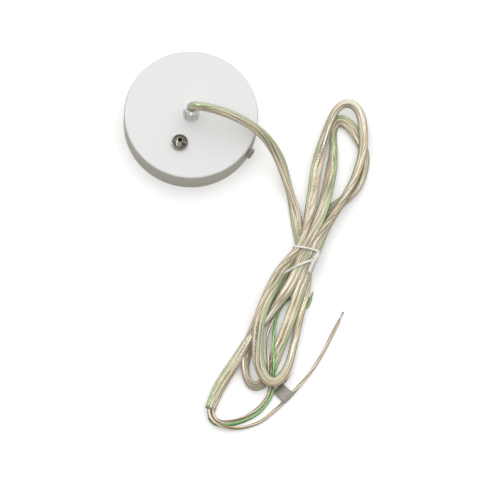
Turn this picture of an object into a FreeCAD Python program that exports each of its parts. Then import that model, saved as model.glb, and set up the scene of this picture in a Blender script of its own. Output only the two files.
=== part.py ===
import FreeCAD, Part
import math
import os
import re

import Sketcher
from FreeCAD import Placement, Rotation, Vector

# Ceiling rose for a pendant lamp: a pressed steel cup with a clear cord grip at its centre, a gripper
# for a suspension wire beside it, a strap bracket that holds the cup with a hook and a side screw, a
# two-way terminal block, and a clear three-core lead that lies tied in a hank beside the cup.
#
# Millimetres. The origin is the centre of the rim, which lies against the ceiling. +Z points out of
# the closed face, away from the ceiling, and +X runs along the bracket through the side screw.

# Each size is set once here. Everything that fits, seats or lines up takes its place from these.
SIZES = [
    # cup
    ("cup_radius", 50.0, "outside radius of the cup"),
    ("cup_height", 22.0, "height of the cup, rim to face"),
    ("cup_wall", 1.0, "steel sheet of the cup"),
    ("cup_edge", 1.5, "outside radius of the pressed edge"),
    ("fit_gap", 0.05, "gap all round a thread or a seated piece"),
    ("hole_play", 0.2, "gap round a screw in a plain hole"),
    # clear lead
    ("cord_radius", 3.3, "mean radius of the clear lead"),
    ("core_radius", 1.2, "radius of one insulated core"),
    ("core_spread", 1.45, "distance of a core from the middle of the lead"),
    ("strand_radius", 0.6, "radius of a bared and tinned core"),
    # cord grip
    ("grip_radius", 6.25, "outside radius of the grip"),
    ("grip_height", 18.0, "height of the grip above the face"),
    ("grip_edge", 0.8, "rounding of the grip's mouth"),
    ("grip_play", 0.4, "gap between the lead and the bore"),
    ("grip_thread_radius", 5.0, "radius of the threaded stem"),
    ("grip_thread_length", 9.0, "length of the stem below the face"),
    ("grip_nut_flats", 14.0, "stem nut across its flats"),
    ("grip_nut_height", 3.0, "height of the stem nut"),
    ("grip_washer_radius", 8.0, "radius of the stem washer"),
    ("washer_height", 0.8, "thickness of the washers"),
    ("clamp_radius", 1.5, "radius of the clamping screw"),
    ("clamp_drop", 2.9, "clamping screw below the mouth"),
    ("clamp_angle", -58.0, "direction of the clamping screw from +X, in degrees"),
    ("clamp_socket", 0.85, "half the width of its hexagon socket"),
    ("sheath_drop", 8.0, "end of the sheath inside the cup, below the face"),
    ("joint_drop", 3.5, "start of the free lead, below the mouth"),
    # wire gripper
    ("gripper_x", 4.1, "gripper's place along the bracket"),
    ("gripper_y", -23.6, "gripper's place across the bracket"),
    ("gripper_angle", 17.5, "direction of the gripper's slot, in degrees"),
    ("gripper_head_radius", 6.2, "radius of the slotted head"),
    ("gripper_head_height", 2.6, "height of the slotted head"),
    ("gripper_head_edge", 0.6, "rounding of the head"),
    ("slot_width", 1.7, "width of the screwdriver slot"),
    ("slot_depth", 1.3, "depth of the screwdriver slot"),
    ("gripper_thread_radius", 4.0, "radius of the gripper's thread"),
    ("gripper_thread_length", 17.0, "length of the thread below the face"),
    ("chamber_radius", 3.2, "wide end of the ball chamber"),
    ("cone_start", 3.5, "cone's narrow end below the face"),
    ("cone_end", 11.5, "cone's wide end below the face"),
    ("gripper_nut_flats", 13.0, "gripper nut across its flats"),
    ("gripper_nut_height", 4.0, "height of the gripper nut"),
    ("gripper_washer_radius", 7.4, "radius of the gripper washer"),
    ("plunger_radius", 2.45, "outside radius of the nipple"),
    ("plunger_rise", 5.0, "nipple above the slotted head"),
    ("plunger_edge", 0.5, "rounding of the nipple's tip"),
    ("slide_gap", 0.06, "running gap of the plunger"),
    ("wire_bore", 1.3, "radius of the bore for the wire"),
    ("cage_radius", 2.6, "radius of the ball cage"),
    ("cage_bore", 1.45, "bore of the ball cage"),
    ("cage_top", 5.4, "top of the cage below the face"),
    ("cage_bottom", 8.8, "bottom of the cage below the face"),
    ("ball_radius", 1.0, "radius of a ball"),
    ("ball_drop", 6.5, "middle of the balls below the face"),
    ("ball_gap", 0.03, "gap between a ball and the cone"),
    ("spring_wire", 0.25, "radius of the spring's wire"),
    ("spring_radius", 2.1, "radius of the spring's turns"),
    ("spring_turns", 4.5, "turns of the spring"),
    ("plug_length", 3.0, "length of the end plug's thread"),
    ("plug_flange", 1.0, "thickness of the end plug's flange"),
    # bracket
    ("bracket_width", 14.0, "width of the strap"),
    ("bracket_sheet", 1.5, "thickness of the strap"),
    ("bracket_lift", 0.5, "strap above the plane of the rim"),
    ("ear_gap", 1.0, "gap between an ear and the cup"),
    ("ear_drop", 5.5, "top of the ears below the face"),
    ("ear_round", 4.0, "rounding of an ear's corners"),
    ("bend_radius", 1.5, "inside radius of the strap's bends"),
    ("collar_radius", 3.4, "radius of the right ear's pressed collar"),
    ("collar_length", 1.5, "length of the right ear's pressed collar"),
    ("hook_width", 5.0, "width of the left ear's hook"),
    ("hook_reach", 0.3, "end of the hook beyond the outside of the cup"),
    ("slot_spacing", 60.0, "distance between the ceiling slots"),
    ("slot_long", 12.0, "ceiling slot, end to end"),
    ("slot_half", 2.25, "half the width of a ceiling slot"),
    # side screw
    ("screw_height", 11.0, "side screw above the rim"),
    ("screw_radius", 2.0, "radius of the side screw's thread"),
    ("screw_length", 10.0, "length of the side screw's thread"),
    ("screw_head_radius", 4.1, "radius of the knurled head"),
    ("screw_head_height", 3.4, "height of the knurled head"),
    ("screw_dome", 1.2, "rounding of the knurled head"),
    ("screw_seat", 0.1, "gap between the head and the cup"),
    ("knurl_depth", 0.35, "depth of a groove of the knurl"),
    ("driver_width", 1.0, "width of a small screwdriver slot"),
    ("driver_depth", 0.9, "depth of a small screwdriver slot"),
    # terminal block
    ("block_x", 15.5, "terminal block's place along the strap"),
    ("block_depth", 16.0, "terminal block along its wires"),
    ("pole_pitch", 9.5, "distance between the two poles"),
    ("barrel_radius", 3.9, "radius of a pole's housing"),
    ("block_base", 2.6, "thickness of the block's base"),
    ("tower_radius", 3.1, "radius of a screw tower"),
    ("tower_height", 12.0, "height of the screw towers"),
    ("insert_radius", 2.25, "outside radius of a brass insert"),
    ("insert_bore", 1.5, "bore of a brass insert"),
    ("insert_length", 13.0, "length of a brass insert"),
    ("insert_screw_offset", 3.9, "terminal screws from the block's middle"),
    ("insert_screw_radius", 1.2, "radius of a terminal screw"),
    ("insert_screw_head", 1.7, "radius of a terminal screw's head"),
    ("insert_screw_length", 4.2, "length of a terminal screw"),
    ("block_screw_radius", 1.25, "radius of the block's fixing screw"),
    ("block_screw_head", 2.2, "radius of the fixing screw's head"),
    # earth
    ("earth_x", -14.0, "earth screw's place along the strap"),
    ("earth_radius", 2.0, "radius of the earth screw"),
    ("earth_head_radius", 3.9, "radius of the earth screw's head"),
    ("earth_head_height", 2.4, "height of the earth screw's head"),
    ("ring_radius", 4.2, "radius of the ring terminal"),
    ("ring_sheet", 0.8, "sheet of the ring terminal"),
    ("ring_barrel", 1.9, "radius of the ring terminal's barrel"),
    ("ring_barrel_length", 5.0, "length of the ring terminal's barrel"),
    # hank and tie
    ("hank_height", 13.2, "height of the tied hank"),
    ("hank_round", 2.5, "rounding of the hank"),
    ("tie_radius", 0.95, "radius of the covered tie wire"),
    ("tie_twist_radius", 1.3, "radius of the twisted tie ends"),
    # marker flag on the long core
    ("flag_length", 11.5, "marker flag along the core"),
    ("flag_width", 7.6, "marker flag across the core"),
    ("flag_film", 0.25, "thickness of one layer of the flag"),
]

ARC_SHARE = 0.45  # share of the shorter run that an arc of a cord takes up
KNURL_GROOVES = 20
BALLS = 3
SPRING_POINTS = 12  # corners of one turn of the spring
WIRE_SIDES = 8  # sides of the spring's wire
MITRED = 1  # corner style of a pipe: its runs meet in a plane
OUT_FOLDER = "parts"

doc = FreeCAD.newDocument("ceiling_rose")
sheet = doc.addObject("Spreadsheet::Sheet", "sizes")
for row, (alias, value, meaning) in enumerate(SIZES, start=1):
    sheet.set(f"A{row}", alias)
    sheet.set(f"B{row}", str(value))
    sheet.set(f"C{row}", meaning)
    sheet.setAlias(f"B{row}", alias)
doc.recompute()
size = {alias: float(sheet.get(alias)) for alias, _, _ in SIZES}
nodes = []


# Helpers: formulas of the sheet's sizes, sketches and features


def bind(thing, prop, formula):
    """Ties a property to a formula written with the sheet's own words."""
    thing.setExpression(prop, re.sub(r"\b[a-z]+(_[a-z]+)+\b", lambda word: "sizes." + word[0], formula))


def keep(thing, label):
    """Marks a finished sub-part as a node of the part."""
    thing.Label = label
    nodes.append(thing)
    return thing


def new_body(name):
    return doc.addObject("PartDesign::Body", name + "_body")


def new_sketch(body, name, role, height=None):
    """A sketch on one of the body's origin planes, or above it."""
    sketch = body.newObject("Sketcher::SketchObject", name)
    plane = next(f for f in body.Origin.OriginFeatures if f.Role == role)
    sketch.AttachmentSupport = (plane, "")
    sketch.MapMode = "FlatFace"
    if height:
        bind(sketch, "AttachmentOffset.Base.z", height)
    return sketch


def fix_point(sketch, element, point, u, v):
    """Holds a point of the sketch at two formulas."""
    for kind, formula in (("DistanceX", u), ("DistanceY", v)):
        number = sketch.addConstraint(Sketcher.Constraint(kind, -1, 1, element, point, 1.0))
        bind(sketch, f"Constraints[{number}]", formula)


def outline(body, name, role, corners, height=None):
    """A closed sketch of straight lines through corners given as formulas."""
    sketch = new_sketch(body, name, role, height)
    count = len(corners)
    turn = 2 * math.pi / count
    spots = [Vector(10 * math.cos(turn * i), 10 * math.sin(turn * i), 0) for i in range(count)]
    for i in range(count):
        sketch.addGeometry(Part.LineSegment(spots[i], spots[(i + 1) % count]), False)
    for i in range(count):
        sketch.addConstraint(Sketcher.Constraint("Coincident", i, 2, (i + 1) % count, 1))
    for i, (u, v) in enumerate(corners):
        fix_point(sketch, i, 1, u, v)
    return sketch


def circles(body, name, role, rings, height=None):
    """A sketch of circles, each a radius and the two places of its centre, as formulas."""
    sketch = new_sketch(body, name, role, height)
    for i, (radius, u, v) in enumerate(rings):
        sketch.addGeometry(Part.Circle(Vector(0, 0, 0), Vector(0, 0, 1), 1 + i), False)
        number = sketch.addConstraint(Sketcher.Constraint("Radius", i, 1.0 + i))
        bind(sketch, f"Constraints[{number}]", radius)
        fix_point(sketch, i, 3, u, v)
    return sketch


def revolve(body, name, sketch):
    made = body.newObject("PartDesign::Revolution", name)
    made.Profile = sketch
    made.ReferenceAxis = (sketch, ["V_Axis"])
    made.Angle = 360
    return made


def pad(body, name, sketch, length, both_ways=False):
    made = body.newObject("PartDesign::Pad", name)
    made.Profile = sketch
    made.Midplane = both_ways
    bind(made, "Length", length)
    return made


def cut_through(body, name, sketch):
    """A pocket right through, to both sides of its sketch."""
    made = body.newObject("PartDesign::Pocket", name)
    made.Profile = sketch
    made.Type = "ThroughAll"
    made.Midplane = True
    return made


def cut_into(body, name, sketch, depth, forward=False):
    """A pocket of one depth, against the sketch's normal unless forward."""
    made = body.newObject("PartDesign::Pocket", name)
    made.Profile = sketch
    made.Reversed = forward
    bind(made, "Length", depth)
    return made


def around(body, name, feature, count):
    """The feature repeated evenly round the body's own Z axis."""
    made = body.newObject("PartDesign::PolarPattern", name)
    axis = next(f for f in body.Origin.OriginFeatures if f.Role == "Z_Axis")
    made.Originals = [feature]
    made.Axis = (axis, [""])
    made.Angle = 360
    made.Occurrences = count
    body.Tip = made
    return made


def round_edges(body, name, feature, radius, wanted):
    """A fillet on the feature's edges that wanted() picks."""
    doc.recompute()
    found = [f"Edge{i}" for i, edge in enumerate(feature.Shape.Edges, start=1) if wanted(edge)]
    made = body.newObject("PartDesign::Fillet", name)
    made.Base = (feature, found)
    bind(made, "Radius", radius)
    return made


def is_ring(edge, radius, height):
    """Whether an edge is a full circle round Z of that radius at that height."""
    curve = edge.Curve
    if not isinstance(curve, Part.Circle):
        return False
    return abs(curve.Radius - radius) < 0.01 and abs(curve.Center.z - height) < 0.01


def primitive(kind, name, at, turn=None, **bound):
    """A Part primitive whose sizes and place are formulas."""
    made = doc.addObject(kind, name)
    if turn:
        made.Placement = Placement(Vector(0, 0, 0), turn)
    for prop, formula in bound.items():
        bind(made, prop, formula)
    for axis, formula in zip("xyz", at, strict=True):
        bind(made, f"Placement.Base.{axis}", formula)
    return made


def fuse(name, shapes):
    made = doc.addObject("Part::MultiFuse", name)
    made.Shapes = shapes
    return made


def cut(name, base, tool):
    made = doc.addObject("Part::Cut", name)
    made.Base = base
    made.Tool = tool
    return made


def feature(label, shape):
    """A sub-part whose shape is worked out below from the sheet's sizes."""
    made = doc.addObject("Part::Feature", label)
    made.Shape = shape
    return keep(made, label)


def turned(direction):
    """The rotation that takes +Z to a direction."""
    return Rotation(Vector(0, 0, 1), direction)


ALONG_X = Rotation(Vector(0, 1, 0), 90)


# Cup: pressed from one disc of sheet, open towards the ceiling


def make_cup():
    body = new_body("cup")
    section = outline(body, "cup_section", "XZ_Plane", [
        ("cup_radius - cup_wall", "0"),
        ("cup_radius", "0"),
        ("cup_radius", "cup_height"),
        ("0", "cup_height"),
        ("0", "cup_height - cup_wall"),
        ("cup_radius - cup_wall", "cup_height - cup_wall"),
    ])
    shell = revolve(body, "cup_shell", section)
    outer, inner = size["cup_radius"], size["cup_radius"] - size["cup_wall"]
    top, under = size["cup_height"], size["cup_height"] - size["cup_wall"]
    edge = round_edges(body, "cup_outer_edge", shell, "cup_edge", lambda e: is_ring(e, outer, top))
    round_edges(body, "cup_inner_edge", edge, "cup_edge - cup_wall", lambda e: is_ring(e, inner, under))
    stems = circles(body, "cup_face_holes", "XY_Plane", [
        ("grip_thread_radius + fit_gap", "0", "0"),
        ("gripper_thread_radius + fit_gap", "gripper_x", "gripper_y"),
    ])
    cut_through(body, "cup_face_cut", stems)
    hole = circles(body, "cup_screw_hole", "YZ_Plane", [("screw_radius + hole_play", "0", "screw_height")])
    cut_into(body, "cup_screw_cut", hole, "cup_radius + 1", forward=True)
    slot = outline(body, "cup_hook_slot", "YZ_Plane", [
        ("-(hook_width / 2 + hole_play)", "cup_height - ear_drop - bracket_sheet - fit_gap"),
        ("hook_width / 2 + hole_play", "cup_height - ear_drop - bracket_sheet - fit_gap"),
        ("hook_width / 2 + hole_play", "cup_height - ear_drop + hole_play"),
        ("-(hook_width / 2 + hole_play)", "cup_height - ear_drop + hole_play"),
    ])
    cut_into(body, "cup_hook_cut", slot, "cup_radius + 1")
    return keep(body, "canopy_cup")


# Cord grip: clear moulded sleeve on a threaded stem, with a nut, a washer and a clamping screw


def make_grip():
    body = new_body("grip")
    section = outline(body, "grip_section", "XZ_Plane", [
        ("cord_radius + grip_play", "cup_height - grip_thread_length"),
        ("grip_thread_radius", "cup_height - grip_thread_length"),
        ("grip_thread_radius", "cup_height"),
        ("grip_radius", "cup_height"),
        ("grip_radius", "cup_height + grip_height"),
        ("cord_radius + grip_play", "cup_height + grip_height"),
    ])
    sleeve = revolve(body, "grip_sleeve", section)
    mouth = size["cup_height"] + size["grip_height"]
    bore = size["cord_radius"] + size["grip_play"]
    rim = round_edges(body, "grip_mouth", sleeve, "grip_edge",
                      lambda e: is_ring(e, size["grip_radius"], mouth) or is_ring(e, bore, mouth))
    hole = circles(body, "grip_clamp_hole", "YZ_Plane", [
        ("clamp_radius + fit_gap", "0", "cup_height + grip_height - clamp_drop"),
    ])
    doc.recompute()
    assert rim.Shape.isValid()
    cut_into(body, "grip_clamp_cut", hole, "grip_radius + cord_radius", forward=True)
    body.Placement = Placement(Vector(0, 0, 0), Rotation(Vector(0, 0, 1), size["clamp_angle"]))
    return keep(body, "cord_grip_body")


def make_clamp_screw():
    """A headless screw with a hexagon socket, built along Z and turned to its place."""
    body = new_body("clamp")
    shaft = pad(body, "clamp_shaft", circles(body, "clamp_round", "XY_Plane", [("clamp_radius", "0", "0")]),
                "grip_radius - cord_radius - 4 * fit_gap")
    corners = []
    for i in range(6):
        angle = 60 * i
        corners.append((f"clamp_socket * {2 / math.sqrt(3) * math.cos(math.radians(angle)):.6f}",
                        f"clamp_socket * {2 / math.sqrt(3) * math.sin(math.radians(angle)):.6f}"))
    socket = outline(body, "clamp_hexagon", "XY_Plane", corners, "grip_radius - cord_radius - 4 * fit_gap")
    doc.recompute()
    assert shaft.Shape.isValid()
    cut_into(body, "clamp_socket_cut", socket, "clamp_radius")
    angle = math.radians(size["clamp_angle"])
    out = Vector(math.cos(angle), math.sin(angle), 0)
    tip = out * (size["cord_radius"] + size["fit_gap"])
    tip.z = size["cup_height"] + size["grip_height"] - size["clamp_drop"]
    body.Placement = Placement(tip, turned(out))
    return keep(body, "cord_grip_screw")


def make_washer(label, radius, hole, x, y, top):
    body = new_body(label)
    rings = [(radius, x, y), (hole + " + fit_gap", x, y)]
    pad(body, label + "_pad", circles(body, label + "_rings", "XY_Plane", rings, top + " - washer_height"),
        "washer_height")
    return keep(body, label)


def make_nut(label, flats, height, hole, x, y, top):
    """A hexagon nut with both ends turned to a cone at the corners."""
    bottom = f"{top} - {height}"
    prism = primitive("Part::Prism", label + "_hexagon", (x, y, bottom),
                      Circumradius=f"{flats} / sqrt(3)", Height=height)
    prism.Polygon = 6
    cone = primitive("Part::Cone", label + "_turned", (x, y, bottom),
                     Radius1=f"{flats} * 0.62", Radius2=f"{flats} * 0.5", Height=height)
    shape = doc.addObject("Part::Common", label + "_blank")
    shape.Base = prism
    shape.Tool = cone
    bore = primitive("Part::Cylinder", label + "_thread", (x, y, bottom + " - 1"),
                     Radius=hole + " + fit_gap", Height=height + " + 2")
    return keep(cut(label, shape, bore), label)


# Wire gripper: slotted nickel sleeve with a coned chamber, a sprung plunger with a ball cage


def place_gripper(body):
    body.Placement = Placement(Vector(0, 0, 0), Rotation(Vector(0, 0, 1), size["gripper_angle"]))
    bind(body, "Placement.Base.x", "gripper_x")
    bind(body, "Placement.Base.y", "gripper_y")


def slot_outline(body, name, width, reach, height):
    """A long rectangle across the body's axis, for a screwdriver slot."""
    return outline(body, name, "XY_Plane", [
        (f"-{reach}", f"-{width} / 2"),
        (reach, f"-{width} / 2"),
        (reach, f"{width} / 2"),
        (f"-{reach}", f"{width} / 2"),
    ], height)


def make_gripper_body():
    body = new_body("gripper")
    section = outline(body, "gripper_section", "XZ_Plane", [
        ("plunger_radius + slide_gap", "cup_height + gripper_head_height"),
        ("gripper_head_radius", "cup_height + gripper_head_height"),
        ("gripper_head_radius", "cup_height"),
        ("gripper_thread_radius", "cup_height"),
        ("gripper_thread_radius", "cup_height - gripper_thread_length"),
        ("chamber_radius", "cup_height - gripper_thread_length"),
        ("chamber_radius", "cup_height - cone_end"),
        ("plunger_radius + slide_gap", "cup_height - cone_start"),
    ])
    turned_sleeve = revolve(body, "gripper_sleeve", section)
    top = size["cup_height"] + size["gripper_head_height"]
    round_edges(body, "gripper_head_rounding", turned_sleeve, "gripper_head_edge",
                lambda e: is_ring(e, size["gripper_head_radius"], top))
    slot = slot_outline(body, "gripper_slot", "slot_width", "gripper_head_radius * 1.1",
                        "cup_height + gripper_head_height")
    cut_into(body, "gripper_slot_cut", slot, "slot_depth")
    place_gripper(body)
    return keep(body, "gripper_body")


def make_plunger():
    body = new_body("plunger")
    tip = "cup_height + gripper_head_height + plunger_rise"
    section = outline(body, "plunger_section", "XZ_Plane", [
        ("wire_bore", tip),
        ("plunger_radius", tip),
        ("plunger_radius", "cup_height - cage_top"),
        ("cage_radius", "cup_height - cage_top"),
        ("cage_radius", "cup_height - cage_bottom"),
        ("cage_bore", "cup_height - cage_bottom"),
        ("cage_bore", "cup_height - cage_top"),
        ("wire_bore", "cup_height - cage_top"),
    ])
    tube = revolve(body, "plunger_tube", section)
    height = size["cup_height"] + size["gripper_head_height"] + size["plunger_rise"]
    round_edges(body, "plunger_tip", tube, "plunger_edge",
                lambda e: is_ring(e, size["plunger_radius"], height))
    window = circles(body, "plunger_window", "YZ_Plane", [
        ("ball_radius + fit_gap", "0", "cup_height - ball_drop"),
    ])
    doc.recompute()
    opened = cut_into(body, "plunger_window_cut", window, "2 * cage_radius", forward=True)
    around(body, "plunger_windows", opened, BALLS)
    place_gripper(body)
    return keep(body, "gripper_plunger")


def ball_offset():
    """Distance of a ball's middle from the axis when it lies against the cone."""
    narrow = size["plunger_radius"] + size["slide_gap"]
    rise = size["cone_end"] - size["cone_start"]
    slope = (size["chamber_radius"] - narrow) / rise
    cone_here = narrow + slope * (size["ball_drop"] - size["cone_start"])
    return cone_here - (size["ball_radius"] + size["ball_gap"]) * math.sqrt(1 + slope * slope)


def make_balls():
    balls = []
    for i in range(BALLS):
        angle = math.radians(size["gripper_angle"] + 360 * i / BALLS)
        centre = Vector(size["gripper_x"] + ball_offset() * math.cos(angle),
                        size["gripper_y"] + ball_offset() * math.sin(angle),
                        size["cup_height"] - size["ball_drop"])
        balls.append(Part.makeSphere(size["ball_radius"], centre))
    return feature("gripper_balls", Part.makeCompound(balls))


def make_spring():
    """Compression spring between the end plug and the ball cage, its wire mitred from point to point."""
    wire, radius = size["spring_wire"], size["spring_radius"]
    bottom = size["cup_height"] - size["gripper_thread_length"] + size["plug_length"] + wire
    top = size["cup_height"] - size["cage_bottom"] - wire
    count = round(size["spring_turns"] * SPRING_POINTS)
    points = []
    for i in range(count + 1):
        angle = 2 * math.pi * i / SPRING_POINTS
        points.append(Vector(size["gripper_x"] + radius * math.cos(angle),
                             size["gripper_y"] + radius * math.sin(angle),
                             bottom + (top - bottom) * i / count))
    run = (points[1] - points[0]).normalize()
    out = (Vector(1, 0, 0) - run * run.x).normalize()
    side = run.cross(out)
    rim = []
    for i in range(WIRE_SIDES + 1):
        angle = 2 * math.pi * i / WIRE_SIDES
        rim.append(points[0] + (out * math.cos(angle) + side * math.sin(angle)) * wire)
    coil = Part.makePolygon(points).makePipeShell([Part.makePolygon(rim)], True, False, MITRED)
    return feature("gripper_spring", coil)


def make_end_plug():
    """Screwed plug that closes the chamber and lets the wire's end out."""
    body = new_body("plug")
    seat = "cup_height - gripper_thread_length"
    section = outline(body, "plug_section", "XZ_Plane", [
        ("wire_bore", seat + " - plug_flange"),
        ("gripper_thread_radius", seat + " - plug_flange"),
        ("gripper_thread_radius", seat),
        ("chamber_radius - fit_gap", seat),
        ("chamber_radius - fit_gap", seat + " + plug_length"),
        ("wire_bore", seat + " + plug_length"),
    ])
    revolve(body, "plug_turned", section)
    slot = slot_outline(body, "plug_slot", "driver_width", "gripper_thread_radius * 1.1",
                        seat + " - plug_flange")
    cut_into(body, "plug_slot_cut", slot, "plug_flange / 2", forward=True)
    place_gripper(body)
    return keep(body, "gripper_end_plug")


# Bracket: one strap of steel, both ends bent up. The right ear is tapped for the side screw and the
# left one ends in a hook that lies in a slot of the cup's wall


def make_bracket():
    body = new_body("bracket")
    end = "cup_radius - cup_wall - ear_gap"
    section = outline(body, "bracket_section", "XZ_Plane", [
        (f"-({end})", "bracket_lift"),
        (end, "bracket_lift"),
        (end, "cup_height - ear_drop"),
        (end + " - bracket_sheet", "cup_height - ear_drop"),
        (end + " - bracket_sheet", "bracket_lift + bracket_sheet"),
        (f"-({end} - bracket_sheet)", "bracket_lift + bracket_sheet"),
        (f"-({end} - bracket_sheet)", "cup_height - ear_drop"),
        (f"-({end})", "cup_height - ear_drop"),
    ])
    strap = pad(body, "bracket_strap", section, "bracket_width", both_ways=True)
    outer = size["cup_radius"] - size["cup_wall"] - size["ear_gap"]
    lift = size["bracket_lift"]
    sheet_edge = size["bracket_sheet"]
    ear_top = size["cup_height"] - size["ear_drop"]

    def bend(edge, x, z):
        middle = edge.CenterOfMass
        return abs(abs(middle.x) - x) < 0.01 and abs(middle.z - z) < 0.01 and abs(middle.y) < 0.01

    outside = round_edges(body, "bracket_outer_bends", strap, "bend_radius + bracket_sheet",
                          lambda e: bend(e, outer, lift))
    inside = round_edges(body, "bracket_inner_bends", outside, "bend_radius",
                         lambda e: bend(e, outer - sheet_edge, lift + sheet_edge))

    def ear_corner(edge):
        box = edge.BoundBox
        return box.ZLength < 0.01 and box.YLength < 0.01 and abs(box.ZMin - ear_top) < 0.01

    round_edges(body, "bracket_ear_corners", inside, "ear_round", ear_corner)
    hook = outline(body, "bracket_hook_outline", "XZ_Plane", [
        (f"-({end} - bracket_sheet)", "cup_height - ear_drop - bracket_sheet"),
        (f"-({end} - bracket_sheet)", "cup_height - ear_drop"),
        ("-(cup_radius + hook_reach)", "cup_height - ear_drop"),
        ("-(cup_radius + hook_reach)", "cup_height - ear_drop - bracket_sheet"),
    ])
    pad(body, "bracket_hook", hook, "hook_width", both_ways=True)
    ring = circles(body, "bracket_collar_ring", "YZ_Plane", [("collar_radius", "0", "screw_height")],
                   f"{end} - bracket_sheet")
    collar = pad(body, "bracket_collar", ring, "collar_length")
    collar.Reversed = True
    tapped = circles(body, "bracket_tapped", "YZ_Plane", [("screw_radius + fit_gap", "0", "screw_height")])
    cut_into(body, "bracket_tapped_cut", tapped, "cup_radius", forward=True)
    holes = circles(body, "bracket_small_holes", "XY_Plane", [
        ("earth_radius + fit_gap", "earth_x", "0"),
        ("block_screw_radius + fit_gap", "block_x", "0"),
    ])
    cut_through(body, "bracket_small_cut", holes)
    slot_ends = []
    for side in (1, -1):
        name = "right" if side > 0 else "left"
        middle, run = f"{side} * slot_spacing / 2", "(slot_long / 2 - slot_half)"
        straight = outline(body, f"ceiling_slot_{name}", "XY_Plane", [
            (f"{middle} - {run}", "-slot_half"),
            (f"{middle} + {run}", "-slot_half"),
            (f"{middle} + {run}", "slot_half"),
            (f"{middle} - {run}", "slot_half"),
        ])
        cut_through(body, f"ceiling_slot_cut_{name}", straight)
        slot_ends += [("slot_half", f"{middle} - {run}", "0"), ("slot_half", f"{middle} + {run}", "0")]
    cut_through(body, "ceiling_slot_ends_cut", circles(body, "ceiling_slot_ends", "XY_Plane", slot_ends))
    return keep(body, "ceiling_bracket")


# Side screw: knurled domed head outside the cup, thread in the bracket's right ear


def make_side_screw():
    body = new_body("screw")
    section = outline(body, "screw_section", "XZ_Plane", [
        ("0", "-screw_length"),
        ("screw_radius", "-screw_length"),
        ("screw_radius", "0"),
        ("screw_head_radius", "0"),
        ("screw_head_radius", "screw_head_height"),
        ("0", "screw_head_height"),
    ])
    blank = revolve(body, "screw_blank", section)
    dome = round_edges(body, "screw_rounding", blank, "screw_dome",
                       lambda e: is_ring(e, size["screw_head_radius"], size["screw_head_height"]))
    groove = circles(body, "screw_groove", "XY_Plane", [
        ("2 * knurl_depth", "screw_head_radius + knurl_depth", "0"),
    ])
    doc.recompute()
    assert dome.Shape.isValid()
    notch = cut_into(body, "screw_notch", groove, "screw_head_height", forward=True)
    around(body, "screw_knurl", notch, KNURL_GROOVES)
    slot = slot_outline(body, "screw_slot", "driver_width", "screw_head_radius * 1.1", "screw_head_height")
    doc.recompute()
    body.Tip = cut_into(body, "screw_slot_cut", slot, "driver_depth")
    body.Placement = Placement(Vector(0, 0, 0), turned(Vector(1, 0, 0)))
    bind(body, "Placement.Base.x", "cup_radius + screw_seat")
    bind(body, "Placement.Base.z", "screw_height")
    return keep(body, "side_screw")


# Terminal block: moulded housing with two brass inserts, screwed to the strap


FLOOR = "bracket_lift + bracket_sheet + fit_gap"  # the block stands on the strap
POLE = FLOOR + " + barrel_radius"


def for_poles():
    """Place across the strap of each pole, as a formula."""
    return [("left", "-pole_pitch / 2"), ("right", "pole_pitch / 2")]


def for_screws():
    """Place along the strap of each row of terminal screws, as a formula."""
    return [("inner", "block_x - insert_screw_offset"), ("outer", "block_x + insert_screw_offset")]


def make_block():
    base = primitive("Part::Box", "block_slab",
                     ("block_x - block_depth / 2", "-pole_pitch / 2 - barrel_radius", FLOOR),
                     Length="block_depth", Width="pole_pitch + 2 * barrel_radius", Height="block_base")
    solids, voids = [base], []
    for pole, y in for_poles():
        at = ("block_x - block_depth / 2", y, POLE)
        solids.append(primitive("Part::Cylinder", f"block_barrel_{pole}", at, ALONG_X,
                                Radius="barrel_radius", Height="block_depth"))
        at = ("block_x - block_depth / 2 - 1", y, POLE)
        voids.append(primitive("Part::Cylinder", f"block_wire_{pole}", at, ALONG_X,
                               Radius="insert_radius + fit_gap", Height="block_depth + 2"))
        for row, x in for_screws():
            solids.append(primitive("Part::Cylinder", f"block_tower_{pole}_{row}", (x, y, FLOOR),
                                    Radius="tower_radius", Height="tower_height"))
            voids.append(primitive("Part::Cylinder", f"block_shaft_{pole}_{row}", (x, y, POLE),
                                   Radius="insert_screw_head + 3 * fit_gap", Height="tower_height"))
    solids.append(primitive("Part::Cylinder", "block_boss", ("block_x", "0", FLOOR),
                            Radius="block_screw_head + 0.4", Height="block_base + 1"))
    voids.append(primitive("Part::Cylinder", "block_hole", ("block_x", "0", "0"),
                           Radius="block_screw_radius + fit_gap", Height="tower_height"))
    voids.append(primitive("Part::Cylinder", "block_head_room", ("block_x", "0", FLOOR + " + block_base + 1"),
                           Radius="block_screw_head + 2 * fit_gap", Height="tower_height"))
    housing = cut("terminal_housing", fuse("block_solid", solids), fuse("block_void", voids))
    return keep(housing, "terminal_housing")


def make_inserts():
    tubes, voids = [], []
    for pole, y in for_poles():
        at = ("block_x - insert_length / 2", y, POLE)
        tubes.append(primitive("Part::Cylinder", f"insert_{pole}", at, ALONG_X,
                               Radius="insert_radius", Height="insert_length"))
        at = ("block_x - insert_length / 2 - 1", y, POLE)
        voids.append(primitive("Part::Cylinder", f"insert_bore_{pole}", at, ALONG_X,
                               Radius="insert_bore", Height="insert_length + 2"))
        for row, x in for_screws():
            voids.append(primitive("Part::Cylinder", f"insert_tapped_{pole}_{row}", (x, y, POLE),
                                   Radius="insert_screw_radius + fit_gap", Height="insert_radius * 2"))
    inserts = cut("terminal_inserts", fuse("insert_solid", tubes), fuse("insert_void", voids))
    return keep(inserts, "terminal_inserts")


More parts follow.
